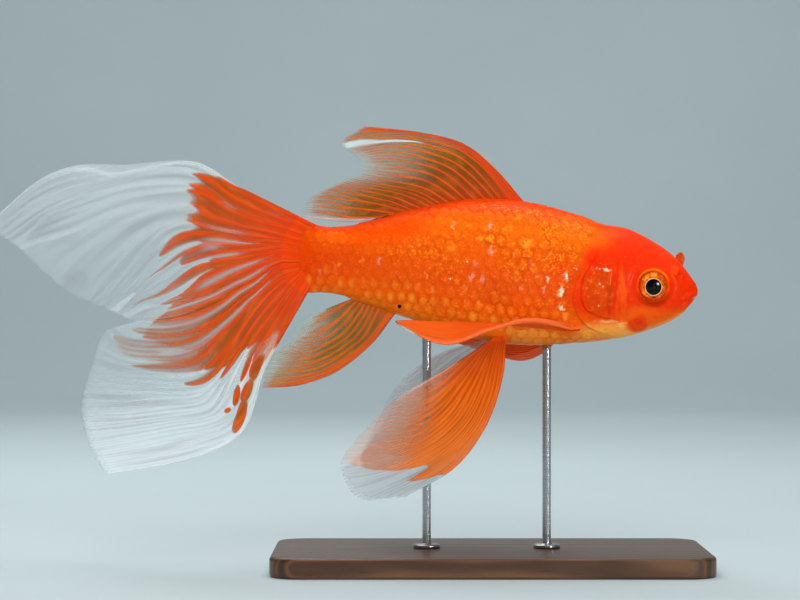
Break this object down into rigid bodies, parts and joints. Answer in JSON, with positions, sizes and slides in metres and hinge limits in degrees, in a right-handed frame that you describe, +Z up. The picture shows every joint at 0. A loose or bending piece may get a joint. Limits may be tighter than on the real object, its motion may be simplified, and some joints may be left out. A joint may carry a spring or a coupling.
{
  "type": "long-finned goldfish model",
  "caption": "Life-size swimming goldfish with a long forked tail and flowing fins, held over a small wooden base by slim steel rods.",
  "frame": {"origin": "on the floor, under the middle of the stand's base", "axes": "+X towards the snout, +Z up, the fish's right side facing -Y"},
  "size_m": [0.2159, 0.0651, 0.1327],
  "materials": {
    "flank_skin": "wet orange scales with golden edges",
    "head_skin": "smooth wet red-orange skin",
    "fin_membrane": "thin orange membrane over fine rays",
    "tail_membrane": "orange streaks that run out into clear white membrane",
    "eye": "clear gloss over a golden-orange iris and black pupil",
    "stand_wood": "oiled walnut",
    "stand_steel": "satin turned steel"
  },
  "bodies": {
    "root": {"head": "head_skin", "lower_jaw": "head_skin", "gill_cover_right": "head_skin", "gill_cover_left": "head_skin", "nasal_flap_right": "head_skin", "nasal_flap_left": "head_skin", "eye_right": "eye", "eye_left": "eye", "trunk": "flank_skin", "tail_stalk": "flank_skin", "dorsal_fin": "fin_membrane", "anal_fin": "fin_membrane", "pelvic_fin_right": "fin_membrane", "pelvic_fin_left": "fin_membrane", "pectoral_fin_right": "fin_membrane", "pectoral_fin_left": "fin_membrane", "tail_fin_upper": "tail_membrane", "tail_fin_lower": "tail_membrane", "stand_base": "stand_wood", "stand_rod_front": "stand_steel", "stand_rod_rear": "stand_steel"}
  },
  "joints": []
}
